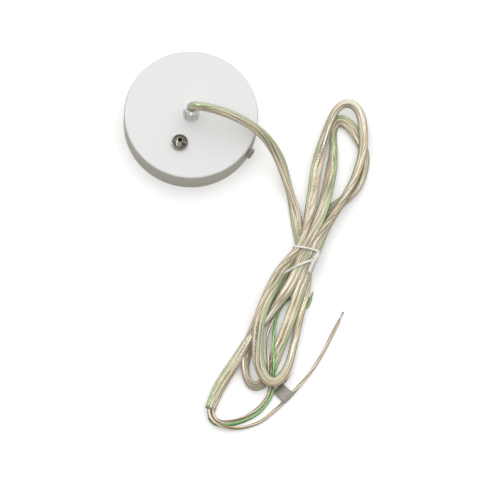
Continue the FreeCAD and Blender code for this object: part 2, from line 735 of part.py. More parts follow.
def slotted_screw(name, x, y, seat, radius, length, head_radius, head_height):
    """A slotted cheese-head screw standing on its seat with its thread downwards."""
    shank = primitive("Part::Cylinder", name + "_shank", (x, y, f"{seat} - ({length})"),
                      Radius=radius, Height=length)
    head = primitive("Part::Cylinder", name + "_head", (x, y, seat), Radius=head_radius, Height=head_height)
    whole = fuse(name + "_blank", [shank, head])
    slot = primitive("Part::Box", name + "_slot",
                     (f"{x} - {head_radius} - 1", f"{y} - driver_width / 2", f"{seat} + {head_height} / 2"),
                     Length=f"2 * {head_radius} + 2", Width="driver_width", Height=f"{head_height}")
    return cut(name, whole, slot)


def make_terminal_screws():
    screws = []
    for pole, y in for_poles():
        for row, x in for_screws():
            seat = POLE + " + insert_radius + 4 * fit_gap"
            if row == "outer":
                seat += " + insert_bore"
            screws.append(slotted_screw(f"terminal_screw_{pole}_{row}", x, y, seat, "insert_screw_radius",
                                        "insert_screw_length - insert_screw_head",
                                        "insert_screw_head", "insert_screw_head"))
    group = doc.addObject("Part::Compound", "terminal_screw_group")
    group.Links = screws
    return keep(group, "terminal_screws")


def make_block_screw():
    seat = FLOOR + " + block_base + 1 + fit_gap"
    length = "block_base + 1 + bracket_sheet"
    return keep(slotted_screw("block_fixing", "block_x", "0", seat, "block_screw_radius", length,
                              "block_screw_head", "block_screw_radius"), "terminal_block_screw")


# Earth: ring terminal and toothed washer under a screw in the strap


STRAP_TOP = "bracket_lift + bracket_sheet + fit_gap"


def make_earth():
    washer_top = STRAP_TOP + " + washer_height"
    make_washer("earth_washer", "ring_radius", "earth_radius", "earth_x", "0", washer_top)
    eye = primitive("Part::Cylinder", "ring_eye", ("earth_x", "0", washer_top + " + fit_gap"),
                    Radius="ring_radius", Height="ring_sheet")
    tongue = primitive("Part::Box", "ring_tongue",
                       ("earth_x", "-ring_barrel", washer_top + " + fit_gap"),
                       Length="ring_radius + 1.5", Width="2 * ring_barrel", Height="ring_sheet")
    barrel_at = ("earth_x + ring_radius + 0.5", "0", washer_top + " + fit_gap + ring_barrel")
    barrel = primitive("Part::Cylinder", "ring_tube", barrel_at, ALONG_X,
                       Radius="ring_barrel", Height="ring_barrel_length")
    hole = primitive("Part::Cylinder", "ring_hole", ("earth_x", "0", "0"),
                     Radius="earth_radius + fit_gap", Height="cup_height")
    bore = primitive("Part::Cylinder", "ring_bore",
                     ("earth_x + ring_radius + 1.5", "0", washer_top + " + fit_gap + ring_barrel"), ALONG_X,
                     Radius="core_radius + fit_gap", Height="ring_barrel_length + 2")
    lug = cut("earth_lug_cut", fuse("ring_solid", [eye, tongue, barrel]), fuse("ring_void", [hole, bore]))
    keep(lug, "earth_ring_terminal")
    seat = washer_top + " + 2 * fit_gap + ring_sheet"
    length = "washer_height + ring_sheet + bracket_sheet"
    keep(slotted_screw("earth_fixing", "earth_x", "0", seat, "earth_radius", length,
                       "earth_head_radius", "earth_head_height"), "earth_screw")


# Cords: straight runs joined by tangent arcs


def rounded_path(points, closed=False):
    """The wire through the points with its corners rounded, and the radii of its arcs."""
    spots = [Vector(*point) for point in points]
    start = spots[0]
    corners = list(zip(spots, spots[1:], spots[2:]))
    if closed:
        before, ahead = spots[-1:] + spots[:-1], spots[1:] + spots[:1]
        corners = list(zip(before, spots, ahead, strict=True))
        start = None
    edges, radii = [], []
    for before, corner, after in corners:
        back = (before - corner).normalize()
        ahead = (after - corner).normalize()
        half_turn = (math.pi - back.getAngle(ahead)) / 2
        trim = ARC_SHARE * min((before - corner).Length, (after - corner).Length)
        radius = trim / math.tan(half_turn)
        middle = corner + (back + ahead).normalize() * (radius / math.cos(half_turn) - radius)
        entry, leave = corner + back * trim, corner + ahead * trim
        if start:
            edges.append(Part.LineSegment(start, entry).toShape())
        else:
            first_entry = entry
        edges.append(Part.Arc(entry, middle, leave).toShape())
        radii.append(radius)
        start = leave
    end = first_entry if closed else spots[-1]
    edges.append(Part.LineSegment(start, end).toShape())
    return Part.Wire(edges), radii


def lying(route, radius):
    """A route given by the height of the cord's underside, turned into one of its middle."""
    return [(x, y, under + radius) for x, y, under in route]


def tube(name, points, radius):
    """A round tube along a rounded path. Its volume is compared with its section times its length."""
    path, radii = rounded_path(points)
    start, towards = Vector(*points[0]), Vector(*points[1])
    ring = Part.Wire([Part.makeCircle(radius, start, towards - start)])
    solid = path.makePipeShell([ring], True, False)
    expected = math.pi * radius * radius * path.Length
    shown = ", ".join(f"{r:.1f}" for r in radii)
    print(f"{name}: length {path.Length:.1f}, volume {solid.Volume / expected:.4f} of expected, radii {shown}")
    return solid


def make_inner_flex():
    """The lead inside the grip, from the bared cores to the mouth."""
    lead = primitive("Part::Cylinder", "flex_in_grip", ("0", "0", "cup_height - sheath_drop"),
                     Radius="cord_radius", Height="grip_height - joint_drop + sheath_drop")
    doc.recompute()
    return keep(lead, "lead_in_grip")


def make_inner_cores(lead):
    """Cores bared inside the cup: two to the terminal block and the earth to its ring terminal."""
    spread, start = size["core_spread"], size["cup_height"] - size["sheath_drop"] + 1
    strap = size["bracket_lift"] + size["bracket_sheet"] + size["fit_gap"]
    pole = strap + size["barrel_radius"]
    mouth = size["block_x"] - size["insert_length"] / 2 + 1
    for label, side in (("inner_core_line", 1), ("inner_core_neutral", -1)):
        x, y = spread * 0.5, side * spread * math.sin(math.radians(60))
        bend = (x + 0.4, y + side * 2.2, pole + 0.2)
        end = (mouth, side * size["pole_pitch"] / 2, pole)
        core = tube(label, [(x, y, start), bend, end], size["core_radius"])
        feature(label, core.cut(lead))
    barrel = strap + size["washer_height"] + size["fit_gap"] + size["ring_barrel"]
    lug = size["earth_x"] + size["ring_radius"] + 2
    points = [(-spread, 0, start), (-spread, 0, barrel), (lug, 0, barrel)]
    core = tube("inner_core_earth", points, size["core_radius"])
    feature("inner_core_earth", core.cut(lead))


# Start of the free lead, its heights measured from the grip's mouth
FEED_START = [
    (0.0, 0.0, 3.5),
    (4.5, 2.2, 8.0),
    (15.5, 7.5, 6.5),
    (33.0, 11.5, 2.0),
]

# The routes below give x, y and the height of the cord's underside. Here the lead comes down to the hank
FEED_ROUTE = [
    (52.0, 13.5, 29.7),
    (70.0, 9.0, 14.2),
    (86.0, -3.5, 3.7),
    (101.0, -18.0, 0.3),
    (113.0, -32.0, 0.3),
]

# The lead's tail, from under the hank to the end of its sheath
TAIL_ROUTE = [
    (127.6, -112.0, 0.1),
    (124.4, -128.0, 0.1),
    (123.6, -147.0, 0.1),
    (124.4, -166.0, 0.1),
    (127.2, -184.5, 0.1),
]

# The bared cores, after their start in the sheath's end
LINE_ROUTE = [
    (131.2, -187.4, 1.6),
    (136.8, -189.0, 0.3),
    (143.0, -185.5, 0.1),
    (151.0, -177.0, 0.1),
    (156.6, -166.5, 0.1),
    (158.2, -156.0, 0.1),
    (157.6, -149.0, 0.1),
]
EARTH_ROUTE = [
    (128.6, -190.2, 0.2),
    (135.5, -192.3, 0.1),
    (143.2, -189.3, 0.1),
    (152.0, -180.3, 0.1),
    (158.8, -169.0, 0.1),
    (160.8, -157.5, 0.1),
    (160.2, -149.0, 0.1),
]
FLAG_ENDS = [(171.3, -148.6, 0.4), (173.8, -136.0, 0.4)]  # stretch of the neutral core under the flag
NEUTRAL_ROUTE = [
    (128.2, -189.6, 2.9),
    (135.5, -191.8, 2.8),
    (144.0, -190.6, 2.4),
    (151.0, -186.8, 0.8),
    (157.5, -181.0, 0.1),
    (164.4, -172.0, 0.1),
    (168.2, -160.0, 0.2),
    *FLAG_ENDS,
    (176.0, -120.0, 0.1),
    (176.2, -102.5, 0.1),
    (174.6, -87.0, 0.1),
    (173.6, -76.0, 0.1),
]
NEUTRAL_TIP = (173.2, -67.5, 0.2)
CORE_STARTS = {"line": 30, "earth": 270, "neutral": 150}  # places round the sheath's end, in degrees

# Outline of the tied hank seen from above, and the gap inside its longer loop
HANK_OUTLINE = [
    (114.5, -46.0), (118.0, -62.5), (117.5, -78.0), (118.5, -93.0), (121.0, -107.0), (124.0, -121.0),
    (125.5, -136.0), (130.0, -145.5), (139.0, -153.0), (148.5, -156.0), (155.5, -151.5), (160.5, -146.5),
    (164.3, -139.0), (164.5, -129.0), (161.5, -119.0), (157.5, -106.0), (151.0, -88.5), (144.5, -69.5),
    (139.0, -54.0), (135.0, -39.0), (133.5, -24.0), (134.5, -7.0), (136.0, 5.0), (137.5, 15.5),
    (137.5, 26.5), (134.0, 37.0), (127.0, 48.0), (118.0, 61.5), (107.0, 73.0), (96.5, 77.5),
    (88.0, 75.5), (84.0, 67.0), (85.5, 52.0), (90.5, 31.5), (97.5, 9.5), (105.0, -13.0), (110.5, -30.0),
]
LOOP_GAP = [
    (122.0, -2.0), (114.5, 22.0), (104.5, 44.5), (107.0, 52.5), (116.0, 48.0), (123.5, 35.5),
    (126.0, 21.5), (125.5, 8.0),
]

# Ends of the two wraps of the tie across the hank, and the way of its twisted ends
TIE_WRAPS = [((116.0, -47.2), (135.2, -41.0)), ((120.2, -67.5), (135.4, -48.0))]
TIE_TWIST = [(134.6, -41.3, 12.8), (135.4, -47.4, 12.6), (137.0, -58.0, 13.7)]


def hank_plate(points, height):
    wire, _ = rounded_path([(x, y, 0) for x, y in points], closed=True)
    return Part.Face(wire).extrude(Vector(0, 0, height))


def wrap_frame(ends):
    """Middle, direction and half length of a wrap of the tie across the hank."""
    first, last = Vector(*ends[0], 0), Vector(*ends[1], 0)
    along = (last - first).normalize()
    return (first + last) * 0.5, along, (last - first).Length / 2


def wrap_box(ends, half_long, half_wide, low, high):
    """An upright box along a wrap of the tie."""
    middle, along, _ = wrap_frame(ends)
    box = Part.makeBox(2 * half_long, 2 * half_wide, high - low, Vector(-half_long, -half_wide, low))
    box.Placement = Placement(middle, Rotation(Vector(1, 0, 0), along)).multiply(box.Placement)
    return box


def make_hank():
    """The tied hank, one closed form of its outer shape with a groove under each wrap of the tie."""
    height, wire = size["hank_height"], 2 * size["tie_radius"] + size["fit_gap"]
    plate = hank_plate(HANK_OUTLINE, height).cut(hank_plate(LOOP_GAP, height))
    flat = [e for e in plate.Edges if e.BoundBox.ZLength < 0.01]
    plate = plate.makeFillet(size["hank_round"], flat)
    for ends in TIE_WRAPS:
        _, _, half = wrap_frame(ends)
        band = wrap_box(ends, half + 6, size["tie_radius"] + 2 * size["fit_gap"], -1, height + 1)
        heart = wrap_box(ends, half - wire, size["tie_radius"] + 1, wire, height - wire)
        plate = plate.cut(band.cut(heart))
    twist = size["tie_twist_radius"]
    plate = plate.cut(tube("twist_groove", lying(TIE_TWIST, twist), twist + size["fit_gap"]))
    return feature("cord_hank", plate)


def make_tie():
    """Covered tie wire: two wraps round the hank and the twisted ends on top."""
    radius, high = size["tie_radius"], size["hank_height"] - size["tie_radius"]
    parts = []
    for ends in TIE_WRAPS:
        middle, along, half = wrap_frame(ends)
        corners = [middle + along * ((half - radius) * s) + Vector(0, 0, z)
                   for s, z in ((-1, radius), (1, radius), (1, high), (-1, high))]
        for start, end in zip(corners, corners[1:] + corners[:1], strict=True):
            parts.append(Part.makeCylinder(radius, (end - start).Length, start, end - start))
            parts.append(Part.makeSphere(radius, start))
    twist = tube("tie_twist", lying(TIE_TWIST, size["tie_twist_radius"]), size["tie_twist_radius"])
    return feature("twist_tie", twist.multiFuse(parts))


def make_flag():
    """Marker flag: one strip of film folded round the core, its two halves stuck together."""
    start, end = (Vector(*point) for point in lying(FLAG_ENDS, size["core_radius"]))
    along = (end - start).normalize()
    across = Vector(-along.y, along.x, 0).normalize()
    up = along.cross(across)
    middle = (start + end) * 0.5
    length, film = size["flag_length"], size["flag_film"]
    inner = size["core_radius"] + size["fit_gap"]
    sleeve = Part.makeCylinder(inner + film, length, Vector(0, 0, -length / 2))
    leaf = Part.makeBox(size["flag_width"], 2 * film, length, Vector(0, -inner - film, -length / 2))
    bore = Part.makeCylinder(inner, length + 2, Vector(0, 0, -length / 2 - 1))
    flag = sleeve.fuse(leaf).cut(bore)
    flag.Placement = Placement(FreeCAD.Matrix(across.x, up.x, along.x, middle.x,
                                              across.y, up.y, along.y, middle.y,
                                              across.z, up.z, along.z, middle.z,
                                              0, 0, 0, 1))
    return feature("core_flag", flag)


def make_cords():
    lead, core, strand = size["cord_radius"], size["core_radius"], size["strand_radius"]
    hank = make_hank().Shape
    mouth = size["cup_height"] + size["grip_height"]
    points = [(0, 0, mouth - size["joint_drop"])]
    points += [(x, y, mouth + rise) for x, y, rise in FEED_START]
    points += lying(FEED_ROUTE, lead)
    feature("cord_feed", tube("cord_feed", points, lead).cut(hank))
    tail = lying(TAIL_ROUTE, lead)
    sheath = feature("cord_tail", tube("cord_tail", tail, lead).cut(hank)).Shape
    end = Vector(*tail[-1])
    heading = (end - Vector(*tail[-2])).normalize()
    side = Vector(-heading.y, heading.x, 0)
    routes = {"line": LINE_ROUTE, "earth": EARTH_ROUTE, "neutral": NEUTRAL_ROUTE}
    for name, route in routes.items():
        angle = math.radians(CORE_STARTS[name])
        start = end - heading + (side * math.cos(angle) + Vector(0, 0, math.sin(angle))) * size["core_spread"]
        points = [tuple(start)] + lying(route, core)
        label = f"free_core_{name}"
        feature(label, tube(label, points, core).cut(sheath).cut(hank))
    make_flag()
    last, tip = (Vector(*point) for point in lying([NEUTRAL_ROUTE[-1], NEUTRAL_TIP], core))
    feature("free_core_tip", Part.makeCylinder(strand, (tip - last).Length, last, tip - last))


UNDER_FACE = "cup_height - cup_wall"

make_cup()
make_grip()
make_clamp_screw()
make_washer("cord_grip_washer", "grip_washer_radius", "grip_thread_radius", "0", "0", UNDER_FACE)
make_nut("cord_grip_nut", "grip_nut_flats", "grip_nut_height", "grip_thread_radius", "0", "0",
         UNDER_FACE + " - washer_height")
make_gripper_body()
make_plunger()
make_balls()
make_spring()
make_end_plug()
make_washer("gripper_washer", "gripper_washer_radius", "gripper_thread_radius", "gripper_x", "gripper_y",
            UNDER_FACE)
make_nut("gripper_nut", "gripper_nut_flats", "gripper_nut_height", "gripper_thread_radius", "gripper_x",
         "gripper_y", UNDER_FACE + " - washer_height")
make_bracket()
make_side_screw()
make_block()
make_inserts()
make_terminal_screws()
make_block_screw()
make_earth()
make_inner_cores(make_inner_flex().Shape)
make_cords()
make_tie()

doc.recompute()
for thing in doc.Objects:
    if "Invalid" in thing.State or "Error" in thing.State:
        raise RuntimeError(f"{thing.Label} did not compute: {thing.State}")
for node in nodes:
    if node.Shape.isNull() or not node.Shape.isValid():
        raise RuntimeError(f"{node.Label} has no valid shape")

os.makedirs(OUT_FOLDER, exist_ok=True)
for node in nodes:
    node.Shape.exportStep(f"{OUT_FOLDER}/{node.Label}.step")
    box = node.Shape.optimalBoundingBox()
    print(f"{node.Label}: {len(node.Shape.Solids)} solid, volume {node.Shape.Volume:.1f}, "
          f"x {box.XMin:.2f} {box.XMax:.2f}, y {box.YMin:.2f} {box.YMax:.2f}, z {box.ZMin:.2f} {box.ZMax:.2f}")
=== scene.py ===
import math

import bmesh
import bpy
from mathutils import Matrix, Vector


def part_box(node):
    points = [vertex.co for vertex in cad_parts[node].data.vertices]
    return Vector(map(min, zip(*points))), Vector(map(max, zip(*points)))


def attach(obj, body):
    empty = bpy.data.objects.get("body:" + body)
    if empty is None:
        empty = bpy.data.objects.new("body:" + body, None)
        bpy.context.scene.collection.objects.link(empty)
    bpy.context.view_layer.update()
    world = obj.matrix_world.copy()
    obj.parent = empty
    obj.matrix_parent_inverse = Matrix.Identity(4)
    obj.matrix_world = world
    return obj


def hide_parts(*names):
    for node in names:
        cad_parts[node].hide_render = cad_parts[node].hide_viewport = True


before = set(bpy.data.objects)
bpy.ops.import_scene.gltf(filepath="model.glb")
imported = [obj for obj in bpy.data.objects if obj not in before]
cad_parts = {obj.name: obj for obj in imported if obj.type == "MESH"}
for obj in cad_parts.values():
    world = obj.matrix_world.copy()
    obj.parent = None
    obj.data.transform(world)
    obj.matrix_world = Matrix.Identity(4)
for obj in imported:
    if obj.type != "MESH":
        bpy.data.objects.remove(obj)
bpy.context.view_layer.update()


# Cup. It is pressed from one disc of steel sheet and powder coated white inside and out. The closed face
# carries the cord grip and the wire gripper. One hook and one side screw hold the cup on its bracket.

MM = 0.001
SHARP = math.radians(32)  # faces that meet at more than this keep a crisp edge
collection = bpy.context.scene.collection


def linear(code):
    """An sRGB hex colour as the linear colour that a shader takes."""
    parts = [int(code[i:i + 2], 16) / 255 for i in (1, 3, 5)]
    return [c / 12.92 if c <= 0.04045 else ((c + 0.055) / 1.055) ** 2.4 for c in parts] + [1.0]


def add(tree, kind, inputs=None, **settings):
    """Adds a node with its settings. Each input, by its label or number, takes a value or a link."""
    made = tree.nodes.new(kind)
    for name, value in settings.items():
        setattr(made, name, value)
    for name, source in (inputs or {}).items():
        if isinstance(source, bpy.types.NodeSocket):
            tree.links.new(source, made.inputs[name])
        else:
            made.inputs[name].default_value = source
    return made


def new_material(name, **inputs):
    """A material with one Principled shader, the constants set on the shader's own sockets."""
    made = bpy.data.materials.new(name)
    made.use_nodes = True
    tree = made.node_tree
    shader = tree.nodes["Principled BSDF"]
    for label, value in inputs.items():
        shader.inputs[label.replace("_", " ")].default_value = value
    return made, tree, shader


def mottle(tree, shader, size, detail, dark, light):
    """Two close tones in patches of a real size. It returns the patches, for relief or gloss to follow."""
    place = add(tree, "ShaderNodeTexCoord").outputs["Object"]
    patches = add(tree, "ShaderNodeTexNoise", {"Vector": place, "Scale": 1 / size, "Detail": detail})
    tone = add(tree, "ShaderNodeMix", data_type="RGBA",
               inputs={"Factor": patches.outputs["Fac"], "A": linear(dark), "B": linear(light)})
    tree.links.new(tone.outputs["Result"], shader.inputs["Base Color"])
    return patches.outputs["Fac"]


def dressed(node, body, material):
    """A smooth piece in the place of a CAD node, from a copy of its mesh with the triangles joined."""
    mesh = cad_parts[node].data.copy()
    shape = bmesh.new()
    shape.from_mesh(mesh)
    bmesh.ops.remove_doubles(shape, verts=shape.verts, dist=0.001 * MM)
    for face in shape.faces:
        face.smooth = True
    for edge in shape.edges:
        edge.smooth = len(edge.link_faces) == 2 and edge.calc_face_angle(0) < SHARP
    shape.to_mesh(mesh)
    shape.free()
    mesh.materials.clear()
    mesh.materials.append(material)
    piece = bpy.data.objects.new(node + "_dressed", mesh)
    collection.objects.link(piece)
    even = piece.modifiers.new("even_shading", "WEIGHTED_NORMAL")
    even.keep_sharp = True
    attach(piece, body)
    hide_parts(node)


# White powder coat: baked polyester, matt, with the slight waves that the melted powder leaves
powder_coat, tree, shader = new_material("white_powder_coat", Roughness=0.55, IOR=1.5)
waves = mottle(tree, shader, 1.1 * MM, 3.0, "#E0E0DF", "#E5E5E4")
relief = add(tree, "ShaderNodeBump", {"Height": waves, "Strength": 0.12, "Distance": 0.05 * MM})
tree.links.new(relief.outputs["Normal"], shader.inputs["Normal"])
dressed("canopy_cup", "rose", powder_coat)


# Cord grip. A clear moulded sleeve stands on the face with the lead inside, its threaded stem is held by a
# nut and washer inside the cup, and a small headless screw clamps the lead.

# Clear plastic: moulded polycarbonate, slightly milky, with a faint painted white glow that stands in for the
# light its thick wall passes on
clear_plastic, tree, shader = new_material("clear_polycarbonate", Roughness=0.25, IOR=1.58, Alpha=0.36,
                                           Emission_Color=(1, 1, 1, 1), Emission_Strength=0.14)
mottle(tree, shader, 3.8 * MM, 2.0, "#F4F5F4", "#FEFEFE")
dressed("cord_grip_body", "rose", clear_plastic)

# Zinc plate: bright steel with a thin, faintly bluish passivation
zinc, tree, shader = new_material("zinc_plated_steel", Metallic=1.0, Roughness=0.34)
spangle = mottle(tree, shader, 0.7 * MM, 4.0, "#B9BCC0", "#D9DADB")
relief = add(tree, "ShaderNodeBump", {"Height": spangle, "Strength": 0.15, "Distance": 0.02 * MM})
tree.links.new(relief.outputs["Normal"], shader.inputs["Normal"])
dressed("cord_grip_screw", "clamp_screw", zinc)
dressed("cord_grip_washer", "rose", zinc)
dressed("cord_grip_nut", "rose", zinc)


# Wire gripper. A turned and nickel plated sleeve with a slotted head holds a sprung plunger. Three balls in
# the plunger's cage close on a suspension wire, and pressing the nipple lets it go.

# Nickel plate: bright and warm, a little clouded where the plate is thin
nickel, tree, shader = new_material("bright_nickel_plate", Metallic=1.0)
clouds = mottle(tree, shader, 1.4 * MM, 4.0, "#87817A", "#ADA79F")
dull = add(tree, "ShaderNodeMapRange", {"Value": clouds, "To Min": 0.12, "To Max": 0.24})
tree.links.new(dull.outputs["Result"], shader.inputs["Roughness"])
dressed("gripper_body", "rose", nickel)
dressed("gripper_plunger", "wire_release", nickel)
dressed("gripper_balls", "wire_release", zinc)
dressed("gripper_end_plug", "rose", nickel)
dressed("gripper_washer", "rose", zinc)
dressed("gripper_nut", "rose", zinc)
for spring_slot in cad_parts["gripper_spring"].material_slots:
    spring_slot.material = zinc


# Bracket. One strap of zinc plated steel that is screwed to the ceiling through its two slots. Its ends
# are bent up into ears: one is tapped for the side screw, and one hooks into a slot of the wall.
dressed("ceiling_bracket", "rose", zinc)


# Side screw. Its knurled, domed and slotted nickel head stands outside the cup, and its thread runs
# through the wall into the bracket's right ear.
dressed("side_screw", "knurled_screw", nickel)


# Terminal block. A moulded nylon housing holds two brass inserts with four slotted screws, and one screw
# through its middle holds it on the strap.

# Nylon: moulded, a warm white that lets a little light in
nylon, tree, shader = new_material("white_nylon", Roughness=0.42, IOR=1.53, Subsurface_Weight=0.15,
                                   Subsurface_Scale=1.5 * MM)
grain = mottle(tree, shader, 0.9 * MM, 2.0, "#E9E6DC", "#F3F1E9")
relief = add(tree, "ShaderNodeBump", {"Height": grain, "Strength": 0.1, "Distance": 0.03 * MM})
tree.links.new(relief.outputs["Normal"], shader.inputs["Normal"])
dressed("terminal_housing", "rose", nylon)

# Brass: machined bar, left bright
brass, tree, shader = new_material("machined_brass", Metallic=1.0, Roughness=0.28)
mottle(tree, shader, 0.4 * MM, 3.0, "#C49A4A", "#DDB76C")
dressed("terminal_inserts", "rose", brass)
dressed("terminal_screws", "rose", zinc)
dressed("terminal_block_screw", "rose", zinc)


# Earth. A tinned copper ring terminal, crimped on the earth core, lies over a washer. A slotted screw in the
# strap holds both.

# Tinned copper: soft grey white metal with a little copper showing through
tinned, tree, shader = new_material("tinned_copper", Metallic=1.0, Roughness=0.36)
mottle(tree, shader, 0.55 * MM, 3.0, "#A89C90", "#CFC9C2")
dressed("earth_washer", "rose", zinc)
dressed("earth_ring_terminal", "rose", tinned)
dressed("earth_screw", "rose", zinc)


# Lead. Two gold coloured cores and a green one are laid up together in a clear soft sheath. It comes out of
# the grip, falls beside the cup and runs five times through the tied hank before its sheath ends.

LEAD_WIDE = 4.5 * MM  # half the wider way across the flattened sheath
LEAD_FLAT = 2.85 * MM  # half the other way
LEAD_ROUND = 3.3 * MM  # radius where the grip holds it round
ROUND_TO = 55 * MM  # it is round up to here and flat from twice as far
LEAD_SIDES = 26
# Each core as it is seen through the sheath: its middle from the lead's middle, half its size across and
# the flat way, in millimetres, and its number among the lead's materials
CORES = ((-2.2, 1.9, 2.1, 1), (1.0, 1.6, 2.1, 2), (3.15, 1.0, 1.3, 3))
CORES_ROUND = 0.68  # where the lead is round, its cores lie closer together by this factor
CORE_SIDES = 14
GRIP_SIDE = (0.44, -0.9, 0)  # the way across the lead from which its turns are counted in the grip
TABLE_GAP = 0.02 * MM  # nothing lies lower than this
UPRIGHT = 0.05  # a line that leans less than this has no level way across

# Turns of the flat lead about itself, each at its run in millimetres from the grip
LEAD_TURNS = [
    (0, 0.2), (14, 0.28), (26, 0.44), (85, 0.47), (110, 0.68), (135, 0.92), (165, 0.98), (200, 0.85),
    (240, 0.75), (272, 0.93), (345, 1.02), (385, 0.85), (425, 0.6), (460, 0.52), (490, 0.7), (540, 0.85),
    (600, 0.8), (640, 0.6), (735, 0.52), (760, 0.7), (790, 0.9), (830, 1.0), (900, 1.4), (960, 1.8),
    (1000, 2.0), (1020, 2.2), (1045, 2.42), (1120, 2.5), (1150, 2.6), (1190, 2.8), (1253, 3.1),
]

# The lead's route in millimetres
LEAD_ROUTE = [
    # up out of the grip, over the rim and down beside the cup
    (0, 0, 36.5), (0, 0, 43), (4.6, 0.9, 47), (16, 5.8, 45.5), (33, 10.4, 41), (52, 12.6, 32.5),
    (70, 9, 17.5), (86, -3.5, 7), (101, -18, 3.6), (113, -32, 3.6), (123, -43, 5), (134, -56, 5),
    (141, -69, 3.5), (146.5, -86.5, 3.4), (153, -104, 3.4), (156.5, -115, 3.4),
    # front lower bend
    (159.5, -125.5, 3.6), (160.3, -136, 5.8), (158.3, -142.8, 7.6), (152.3, -145, 9.2),
    (145, -141.5, 10.3), (138.5, -135, 12), (131, -123.5, 14),
    # up through the tie
    (123.5, -108, 14.5), (120, -90.5, 12), (117.6, -67.5, 11), (121.8, -46, 12), (118.5, -33, 11),
    (113.2, -17.5, 10), (107, -1, 10), (100, 15.5, 10), (95, 31.5, 10), (90.5, 49, 10),
    # front upper bend
    (88.8, 60.5, 10), (90.2, 69, 9.6), (95.5, 73.6, 9), (102.5, 72.8, 8.5), (110, 66.5, 8.5),
    (118, 55, 9.5),
    # down through the tie
    (123.5, 43.5, 10), (127, 31, 10), (129, 18.5, 10), (129.5, 3, 10), (129.5, -10, 10),
    (129.5, -22, 10.5), (132, -41, 12), (134.5, -58, 10), (138, -73, 8.5), (142, -92, 7),
    (144.6, -106.5, 5.5),
    # back lower bend
    (147, -119.5, 4), (150, -136, 3.4), (150.8, -145, 3.4), (148, -151.5, 3.4), (142, -152.8, 3.4),
    (135.5, -147.6, 3.4), (130.3, -139.5, 3.4), (126, -127, 3.4),
    # up through the tie
    (123, -110, 3.4), (121, -90, 3.4), (120, -68, 5), (127.5, -41, 9), (125, -25.5, 5),
    (124.2, -11, 3.4), (127, 1.5, 3.4), (131, 11.5, 3.4), (133.5, 22, 3.4), (131, 34.5, 3.4),
    (125.5, 45.5, 3.4),
    # back upper bend
    (116.5, 53, 3.4), (107, 58.5, 3.4), (99.2, 60.6, 3.4), (93.2, 58.6, 3.4), (92.8, 52, 3.4),
    # down through the tie to the end of the sheath
    (97.2, 45, 3.6), (102.5, 37.5, 4), (109.5, 22.5, 4), (116.5, 3.5, 6), (122, -17, 9),
    (126.5, -43.5, 13), (127, -52, 14.4), (128.5, -59, 12), (130, -73.5, 8.5), (129, -88.5, 7.5),
    (128, -107, 8.5), (124.5, -122.5, 9.1), (124.5, -139, 4.5), (124, -154.5, 3.4), (124, -170, 3.4),
    (127, -184.5, 3.4),
]


def smooth_line(route, steps=10):
    """Points in metres along the smooth line whose control points are a route in millimetres."""
    curve = bpy.data.curves.new("guide", "CURVE")
    curve.dimensions = "3D"
    curve.resolution_u = steps
    spline = curve.splines.new("NURBS")
    spline.points.add(len(route) - 1)
    for spot, (x, y, z) in zip(spline.points, route):
        spot.co = (x * MM, y * MM, z * MM, 1)
    spline.order_u = 3
    spline.use_endpoint_u = True
    guide = bpy.data.objects.new("guide", curve)
    collection.objects.link(guide)
    bpy.context.view_layer.update()
    mesh = bpy.data.meshes.new_from_object(guide.evaluated_get(bpy.context.evaluated_depsgraph_get()))
    points = [v.co.copy() for v in mesh.vertices]
    bpy.data.objects.remove(guide)
    bpy.data.meshes.remove(mesh)
    return points


def frames(points, side, level=False):
    """Each point with the distance run and two directions across the line.

    They turn as little as they can, or the first stays level wherever the line isn't upright.
    """
    found, run = [], 0.0
    across = Vector(side)
    for i, point in enumerate(points):
        ahead = (points[min(i + 1, len(points) - 1)] - points[max(i - 1, 0)]).normalized()
        flat = Vector((ahead.y, -ahead.x, 0))
        if level and flat.length > UPRIGHT:
            across = flat
        across = (across - ahead * across.dot(ahead)).normalized()
        if i:
            run += (point - points[i - 1]).length
        found.append((point, run, across.copy(), across.cross(ahead)))
    return found


def between(marks, at):
    """The value at a place among marks of place and value."""
    for (low, first), (high, last) in zip(marks, marks[1:]):
        if at <= high:
            return first + (last - first) * max(0.0, (at - low) / (high - low))
    return marks[-1][1]


def ring_round(point, across, up, wide, flat, sides, turn=0.0):
    """A ring of points round a line, an oval turned by an angle, kept above the table."""
    ring = []
    for k in range(sides):
        angle = 2 * math.pi * k / sides
        x, y = wide * math.cos(angle), flat * math.sin(angle)
        cx, cy = x * math.cos(turn) - y * math.sin(turn), x * math.sin(turn) + y * math.cos(turn)
        spot = point + across * cx + up * cy
        spot.z = max(spot.z, TABLE_GAP)
        ring.append(spot)
    return ring


def sweep(shape, layer, rings, index, closed=False):
    """Joins rings of points into a tube that faces outwards, with u round it and v along it in metres."""
    rows = [[shape.verts.new(p) for p in ring] for _, ring in rings]
    sides = len(rows[0])
    pairs = list(zip(range(len(rows)), range(1, len(rows))))
    if closed:
        pairs.append((len(rows) - 1, 0))
    for i, j in pairs:
        low, high = rings[i][0], rings[j][0]
        for k in range(sides):
            after = (k + 1) % sides
            face = shape.faces.new((rows[i][k], rows[j][k], rows[j][after], rows[i][after]))
            face.smooth = True
            face.material_index = index
            for corner, (u, v) in zip(face.loops, ((k, low), (k, high), (k + 1, high), (k + 1, low))):
                corner[layer].uv = (u / sides, v)
    if not closed:
        for row in (rows[0], rows[-1][::-1]):
            shape.faces.new(row).material_index = index


def finish_mesh(name, shape, materials):
    """An object at the origin from the finished mesh."""
    mesh = bpy.data.meshes.new(name)
    shape.to_mesh(mesh)
    shape.free()
    for material in materials:
        mesh.materials.append(material)
    piece = bpy.data.objects.new(name, mesh)
    collection.objects.link(piece)
    return piece


